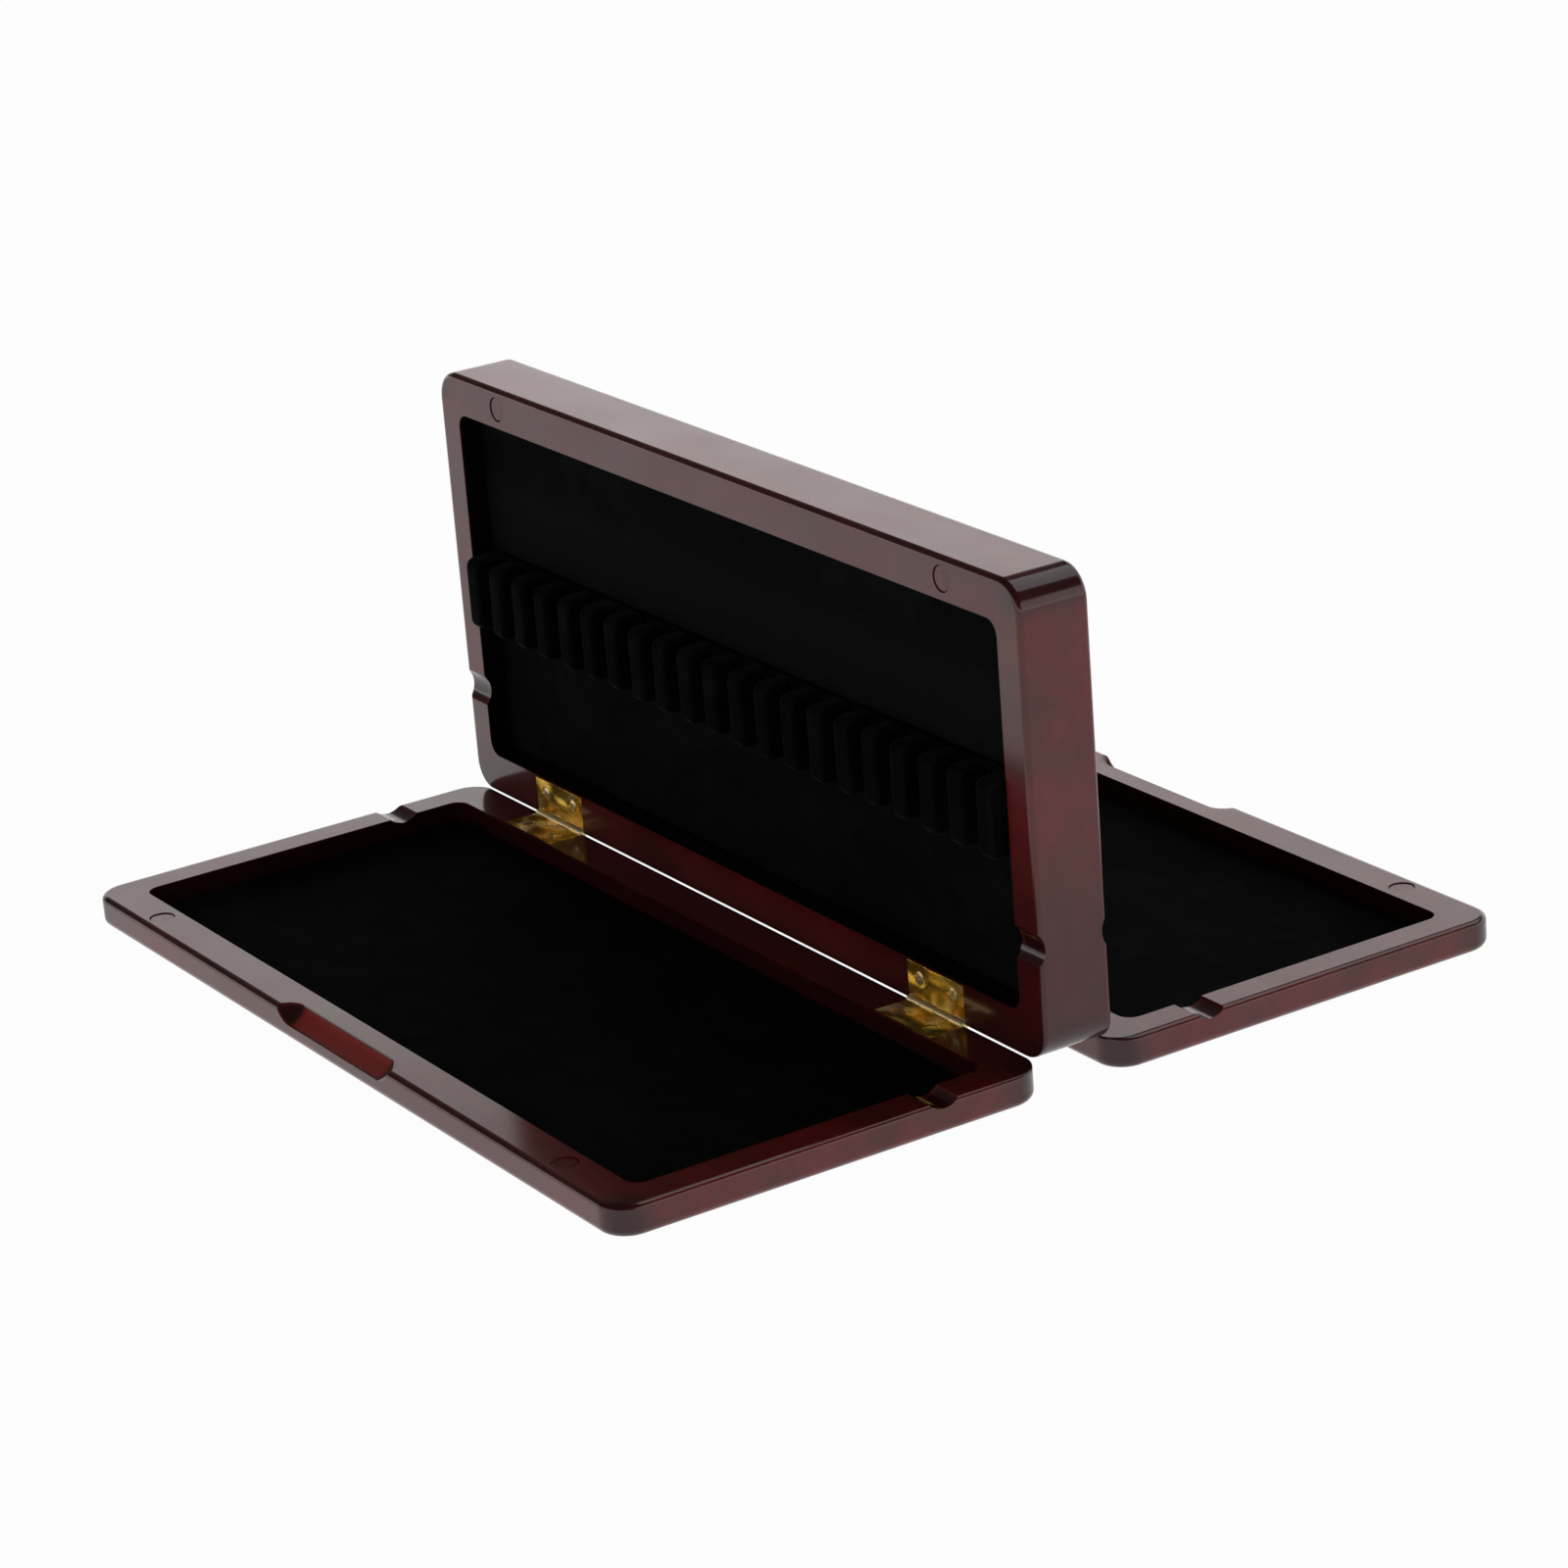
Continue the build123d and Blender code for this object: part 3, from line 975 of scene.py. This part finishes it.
class REEDCASE_OT_racks(bpy.types.Operator):
    """Build the reed racks on both faces of the centre"""

    bl_idname = "reedcase.racks"
    bl_label = "Reed racks"

    def execute(self, context):
        velvet = sizes("case_velvet")
        draw = random.Random(7)
        low, high = FRAME_LOW.y - BARS_HIGH.y, FRAME_LOW.y - BARS_LOW.y
        row = (BARS_LOW.z + BARS_HIGH.z) / 2 - CENTRE_MIDDLE
        bar = rack_bar(velvet, low, high, (BARS_HIGH.z - BARS_LOW.z) / 2)
        pitch = (BARS_HIGH.x - BARS_LOW.x - velvet.bar_width) / (velvet.bar_count - 1)
        material = velvet_cloth("rack_velvet", brushed_and_lit=0.05, sheen=0.05, crest_sheen=0.32)
        plain = velvet_cloth("strip_velvet", brushed_and_lit=0.05)
        for hand, place in (("front", FRONT_FACE), ("back", BACK_FACE)):
            copies = []
            for i in range(velvet.bar_count):
                x = BARS_LOW.x + velvet.bar_width / 2 + i * pitch
                lean = Matrix.Rotation(math.radians(draw.uniform(-BAR_LEAN, BAR_LEAN)), 4, "Z")
                stray = [draw.uniform(-most, most) * MM for most in BAR_STRAY]
                inside = 0 < i < velvet.bar_count - 1
                shift = Matrix.Translation((x + stray[0] * inside, row + stray[1], 0))
                copies.append(duplicate(bar, f"bar_{i}", place @ shift @ lean))
            ridges = join(f"{hand}_reed_ridges", copies)
            dress(ridges, material, "centre", "rack_velvet", f"{hand}_rack_bars")
            strip = block(
                "strip",
                (STRIP_LOW.x, STRIP_LOW.z - CENTRE_MIDDLE, FRAME_LOW.y - STRIP_HIGH.y),
                (STRIP_HIGH.x, STRIP_HIGH.z - CENTRE_MIDDLE, FRAME_LOW.y - STRIP_LOW.y),
            )
            with editing(strip):
                pick(strip, "edges", lambda e: at_level(e, FRAME_LOW.y - STRIP_LOW.y))
                bpy.ops.mesh.bevel(offset=STRIP_ROUND, segments=3, affect="EDGES")
            strip.name = strip.data.name = f"{hand}_rack_base"
            smooth(settle(strip, place), 60)
            dress(strip, plain, "centre", "rack_velvet", f"{hand}_rack_strip")
        bpy.data.objects.remove(bar)
        return {"FINISHED"}


# Hinges, screws and magnets. A leaf's own frame has its origin on the pin

# Inset and lift of each ring of a screw head's dome in millimetres, its slot's floor, its point
HEAD_RINGS = ((0.15, 0.08), (0.35, 0.09), (0.40, 0.04))
SLOT_BOTTOM = -0.26 * MM
SCREW_POINT = 1.0 * MM
LEAF_ROUND = 0.09 * MM
KNUCKLE_ROUND = 0.10 * MM
MAGNET_ROUND = 0.25 * MM


def hinge_leaf():
    """A stamped leaf with every second knuckle, in the frame of its pin."""
    hinge = sizes("case_hinges")
    top = -hinge.above
    leaf = block("leaf", (-hinge.half, 0, top - hinge.gauge), (hinge.half, hinge.reach, top))
    with editing(leaf):
        pick(
            leaf,
            "edges",
            lambda e: max(v.co.y for v in e.verts) > 0.1 * MM
            and not at_level(e, top - hinge.gauge),
        )
        bpy.ops.mesh.bevel(offset=LEAF_ROUND, segments=2, affect="EDGES")
    pitch = hinge.half / 2
    away = hinge.knuckle + hinge.relief
    notches, knuckles, cones = [], [], []
    for start in (-pitch, pitch):
        stop = start + pitch + 0.2 * MM * (start > 0)
        notches.append(block("notch", (start, -MM, -2 * MM), (stop, away, MM)))
    for start in (-2 * pitch, 0):
        spot = (start + pitch / 2, 0, 0)
        knuckle = rod("knuckle", spot, hinge.knuckle, pitch - hinge.side_gap, "X", 40)
        with editing(knuckle):
            pick(knuckle, "edges", lambda e: e.calc_face_angle() > math.radians(60))
            bpy.ops.mesh.bevel(offset=KNUCKLE_ROUND, segments=2, affect="EDGES")
        knuckles.append(knuckle)
    for end in (-1, 1):
        deselect()
        over = 0.1 * MM
        bpy.ops.mesh.primitive_cone_add(
            vertices=32,
            radius1=hinge.head - hinge.gauge - over + 0.02 * MM,
            radius2=hinge.head + over + 0.02 * MM,
            depth=hinge.gauge + 2 * over,
            location=(end * hinge.screw_half, hinge.screw_row, top - hinge.gauge / 2),
        )
        cones.append(named("countersink"))
    combine(leaf, "DIFFERENCE", join("notches", notches))
    combine(leaf, "UNION", join("knuckles", knuckles))
    bore = rod("bore", (0, 0, 0), hinge.bore, 3 * hinge.half, "X", 24)
    combine(leaf, "DIFFERENCE", bore, join("countersinks", cones))
    return mend(leaf)


def hinge_screw():
    """A slotted countersunk screw with its head's rim at the origin."""
    hinge = sizes("case_hinges")
    deselect()
    bpy.ops.mesh.primitive_cone_add(
        vertices=28,
        radius1=hinge.head - hinge.gauge,
        radius2=hinge.head - hinge.head_sunk,
        depth=hinge.gauge - hinge.head_sunk,
        location=(0, 0, -(hinge.gauge + hinge.head_sunk) / 2),
    )
    screw = named("screw")
    with editing(screw, "FACE"):
        pick(screw, "faces", lambda f: f.normal.z > 0.9)
        for inset, lift in HEAD_RINGS:
            bpy.ops.mesh.inset(thickness=inset * MM)
            bpy.ops.transform.translate(value=(0, 0, lift * MM))
        pick(screw, "faces", lambda f: f.normal.z < -0.9)
        shank = hinge.screw_depth - hinge.gauge - SCREW_POINT - 0.2 * MM
        bpy.ops.mesh.extrude_region_move(TRANSFORM_OT_translate={"value": (0, 0, -shank)})
        bpy.ops.mesh.extrude_region_move(TRANSFORM_OT_translate={"value": (0, 0, -SCREW_POINT)})
        bpy.ops.transform.resize(value=(0.2, 0.2, 1))
    slot = block(
        "slot_cutter",
        (-2 * hinge.head, -hinge.slot / 2, SLOT_BOTTOM),
        (2 * hinge.head, hinge.slot / 2, MM),
    )
    combine(screw, "DIFFERENCE", slot)
    return smooth(mend(screw), 35)


# Side, part, body and frame of each rim, and how its leaves are mirrored
RIMS = (
    ("front", "lid", "front_lid", FRONT_LID, 1),
    ("back", "lid", "back_lid", BACK_LID, -1),
    ("front", "centre", "centre", FRONT_FACE, 1),
    ("back", "centre", "centre", BACK_FACE, -1),
)


class REEDCASE_OT_hinges(bpy.types.Operator):
    """Build the brass hinges, their leaves, pins and screws"""

    bl_idname = "reedcase.hinges"
    bl_label = "Hinges and screws"

    def execute(self, context):
        hinge = sizes("case_hinges")
        brass = polished_brass("hinge_brass")
        # Partly a painted highlight: the screws in paler brass
        screw_brass = polished_brass("screw_brass", pale=0.8, dented=0.2)
        draw = random.Random(11)
        leaf, screw = hinge_leaf(), hinge_screw()
        for hand, part, body, place, flip in RIMS:
            screws = []
            for side in (-1, 1):
                at_pin = Matrix.Translation((side * PIN.x, PIN_ROW, hinge.above))
                mirrored = Matrix.Diagonal((flip, 1, 1, 1))
                world = place @ at_pin @ mirrored
                right = (place @ Vector((side * PIN.x, 0, 0))).x > 0
                end = "right" if right else "left"
                piece = duplicate(leaf, f"{hand}_{end}_{part}_plate", world)
                smooth(mend(piece), 30)
                dress(piece, brass, body, "hinge_brass", f"{hand}_{end}_{part}_leaf")
                for way in (-1, 1):
                    spot = (side * PIN.x + way * hinge.screw_half, PIN_ROW + hinge.screw_row, 0)
                    spin = Matrix.Rotation(draw.uniform(0, HALF_TURN), 4, "Z")
                    screws.append(
                        duplicate(screw, "screw_copy", place @ Matrix.Translation(spot) @ spin)
                    )
            group = join(f"{hand}_{part}_slotted_screws", screws)
            dress(group, screw_brass, body, "screw_brass", f"{hand}_{part}_screws")
        for hand in ("front", "back"):
            for end in ("left", "right"):
                repaint(f"{hand}_{end}_hinge_pin", brass)
        for source in (leaf, screw):
            bpy.data.objects.remove(source)
        return {"FINISHED"}


class REEDCASE_OT_magnets(bpy.types.Operator):
    """Build the round magnets in the free rims"""

    bl_idname = "reedcase.magnets"
    bl_label = "Magnets"

    def execute(self, context):
        hinge = sizes("case_hinges")
        material = lacquered_magnet("magnet_lacquer")
        spot = (0, 0, -hinge.magnet_sunk - hinge.magnet_gauge / 2)
        disc = rod("disc", spot, hinge.magnet, hinge.magnet_gauge, "Z", 48)
        with editing(disc):
            pick(disc, "edges", lambda e: at_level(e, -hinge.magnet_sunk))
            bpy.ops.mesh.bevel(offset=MAGNET_ROUND, segments=4, affect="EDGES")
        smooth(mend(disc))
        for hand, part, body, place, _ in RIMS:
            pair = [
                duplicate(disc, "disc_copy", place @ Matrix.Translation((x, MAGNET_ROW, 0)))
                for x in (-MAGNET_X, MAGNET_X)
            ]
            piece = join(f"{hand}_{part}_magnet_discs", pair)
            dress(piece, material, body, "magnet", f"{hand}_{part}_magnets")
        bpy.data.objects.remove(disc)
        return {"FINISHED"}


# Floor, lights and camera, in metres, watts and millimetres of film

WHITE = (1, 1, 1)
FLOOR_RADIUS = 4.0
SOFTBOX_SPOT = (0.05, 0.62, 0.92)
SOFTBOX_WIDTH = 0.85
SOFTBOX_POWER = 3.0
SENSOR_WIDTH = 36.0
FOCAL_LENGTH = 115.0253
CAMERA_SPOT = (0.7781652, -0.4717068, 0.3613720)
CAMERA_TARGET = (0.0569278, -0.0298154, 0.0538844)
CAMERA_ROLL = math.radians(-4.52814)


def aimed(position, target, roll=0.0):
    """The matrix of a lamp or camera at a position, looking at a target."""
    position, target = Vector(position), Vector(target)
    look = (target - position).normalized()
    right = look.cross(Vector((0, 0, 1))).normalized()
    up = right.cross(look)
    c, s = math.cos(roll), math.sin(roll)
    right, up = right * c + up * s, up * c - right * s
    turn = Matrix((right, up, -look)).transposed().to_4x4()
    return Matrix.Translation(position) @ turn


def ray_kinds(shader):
    """1 for the rays of the camera and of transmission, and 1 for those of reflections."""
    camera, through, glossy = (
        shader.node("ShaderNodeLightPath", out=name)
        for name in ("Is Camera Ray", "Is Transmission Ray", "Is Glossy Ray")
    )
    return camera.most(through), glossy


def floor_paper():
    """White paper to the camera that keeps a faint shadow, and a little darker to other rays."""
    s = Shader.material("floor_paper")
    grain = s.noise(s.place(), (60, 60, 60), detail=2)
    pulp = s.mix(grain * 0.2, (0.86, 0.86, 0.86), (0.82, 0.82, 0.82))
    paper = s.node("ShaderNodeBsdfDiffuse", values={"Color": pulp})
    glow = s.node("ShaderNodeEmission", values={"Color": WHITE, "Strength": 1.0})
    share = (ray_kinds(s)[0] * 0.972).most(0.80)
    return s.end(s.node("ShaderNodeMixShader", values={0: share, 1: paper, 2: glow}))


def light_world(world):
    """White to the camera. To other rays a low pale backdrop behind the case, under a dark room."""
    w = Shader(world, "ShaderNodeOutputWorld")
    y, z = w.split(w.node("ShaderNodeTexCoord", out="Generated"))[1:]
    seen, mirrored = ray_kinds(w)
    # Mirrors see a thin bright band low in front, and dull surfaces see half the backdrop there
    low_band = (1 - z.step(0.06, 0.16)) * 1.3
    around = y.step(-0.30, 0.20).most((1 - mirrored) * 0.5).most(low_band * mirrored)
    backdrop = (1 - z.step(0.375, 0.46)) * around
    strength = seen.most(backdrop * 1.28 + 0.05)
    tint = w.mix(seen, (1.0, 0.93, 0.92), WHITE)
    w.end(w.node("ShaderNodeBackground", values={"Color": tint, "Strength": strength}))


class REEDCASE_OT_stage(bpy.types.Operator):
    """Build the floor, the soft lights and the camera"""

    bl_idname = "reedcase.stage"
    bl_label = "Floor, lights and camera"

    def execute(self, context):
        scene = context.scene
        deselect()
        bpy.ops.mesh.primitive_circle_add(
            vertices=96, radius=FLOOR_RADIUS, fill_type="NGON", location=(0, 0, -0.02 * MM)
        )
        floor = named("floor")
        floor.data.materials.append(floor_paper())
        floor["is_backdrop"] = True

        scene.world = bpy.data.worlds.new("studio")
        light_world(scene.world)

        data = bpy.data.lights.new("softbox", "AREA")
        data.shape, data.size, data.energy = "SQUARE", SOFTBOX_WIDTH, SOFTBOX_POWER
        lamp = bpy.data.objects.new("softbox", data)
        scene.collection.objects.link(lamp)
        lamp.matrix_world = aimed(SOFTBOX_SPOT, (0, 0, 0))

        data = bpy.data.cameras.new("camera")
        camera = bpy.data.objects.new("camera", data)
        scene.collection.objects.link(camera)
        data.sensor_width, data.lens = SENSOR_WIDTH, FOCAL_LENGTH
        data.clip_start, data.clip_end = 0.05, 30.0
        camera.matrix_world = aimed(CAMERA_SPOT, CAMERA_TARGET, CAMERA_ROLL)
        scene.camera = camera
        scene.view_settings.view_transform = "Standard"
        return {"FINISHED"}


class REEDCASE_PT_pieces(bpy.types.Panel):
    """Buttons that build the reed case piece by piece"""

    bl_idname = "REEDCASE_PT_pieces"
    bl_label = "Reed case"
    bl_space_type = "VIEW_3D"
    bl_region_type = "UI"
    bl_category = "Reed case"

    def draw(self, context):
        for operator in OPERATORS:
            self.layout.operator(operator.bl_idname)
        for group in GROUPS:
            box = self.layout.box()
            for name in GROUPS[group].__annotations__:
                box.prop(getattr(context.scene, group), name)


OPERATORS = (
    REEDCASE_OT_lids,
    REEDCASE_OT_centre,
    REEDCASE_OT_beds,
    REEDCASE_OT_racks,
    REEDCASE_OT_hinges,
    REEDCASE_OT_magnets,
    REEDCASE_OT_stage,
)
GROUPS = {
    "case_wood": WoodSizes,
    "case_hinges": HingeSizes,
    "case_velvet": VelvetSizes,
    "case_colours": CaseColours,
}


def register():
    for group in GROUPS.values():
        bpy.utils.register_class(group)
    for name, group in GROUPS.items():
        setattr(bpy.types.Scene, name, PointerProperty(type=group))
    for operator in OPERATORS:
        bpy.utils.register_class(operator)
    bpy.utils.register_class(REEDCASE_PT_pieces)


def unregister():
    bpy.utils.unregister_class(REEDCASE_PT_pieces)
    for operator in reversed(OPERATORS):
        bpy.utils.unregister_class(operator)
    for name, group in reversed(GROUPS.items()):
        delattr(bpy.types.Scene, name)
        bpy.utils.unregister_class(group)


def main():
    """Build every piece and the stage."""
    register()
    bpy.ops.reedcase.lids()
    bpy.ops.reedcase.centre()
    bpy.ops.reedcase.beds()
    bpy.ops.reedcase.racks()
    bpy.ops.reedcase.hinges()
    bpy.ops.reedcase.magnets()
    bpy.ops.reedcase.stage()
    boxes = {"cad": cad_box, "visual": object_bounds()}
    {name: [list(corner) for corner in box] for name, box in boxes.items()}


if __name__ == "__main__":
    main()
